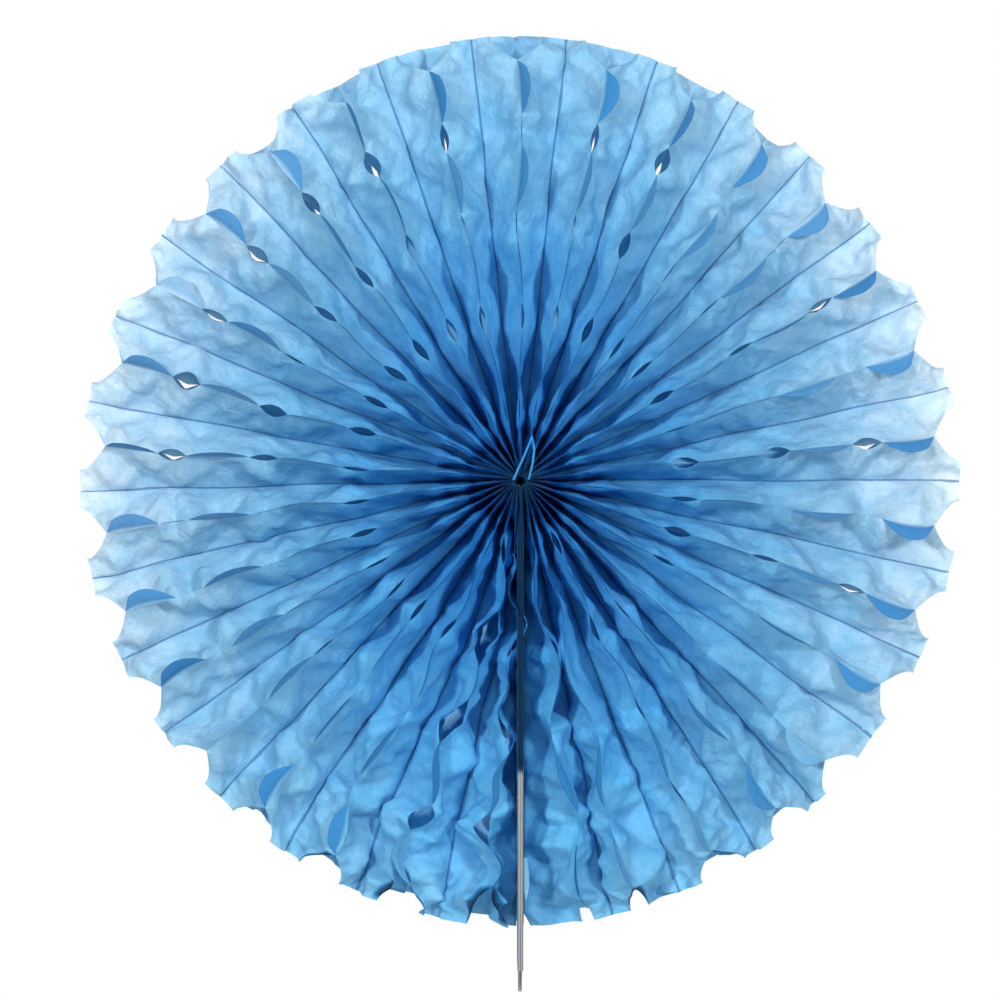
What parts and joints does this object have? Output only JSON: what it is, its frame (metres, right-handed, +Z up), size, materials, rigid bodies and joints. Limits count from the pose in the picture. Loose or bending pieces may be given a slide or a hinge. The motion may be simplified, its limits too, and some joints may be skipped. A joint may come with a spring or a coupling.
{
  "type": "paper fan rosette",
  "caption": "Round hanging party decoration of die-cut tissue sheets opened into a full disc, closed by two card guard strips with a tab below.",
  "frame": {"origin": "middle of the disc on the plane of its back, where it meets a wall", "axes": "-Y out of the front of the disc, +Y towards the wall, +Z up, with the guard strips and their tab along -Z"},
  "size_m": [0.3994, 0.0601, 0.4385],
  "materials": {
    "tissue": "matte, translucent",
    "greyboard": "matte",
    "tape": "matte"
  },
  "bodies": {
    "root": {"tissue_fan": "tissue", "guard_strip_right": "greyboard", "guard_strip_left": "greyboard", "adhesive_tape": "tape"}
  },
  "joints": []
}
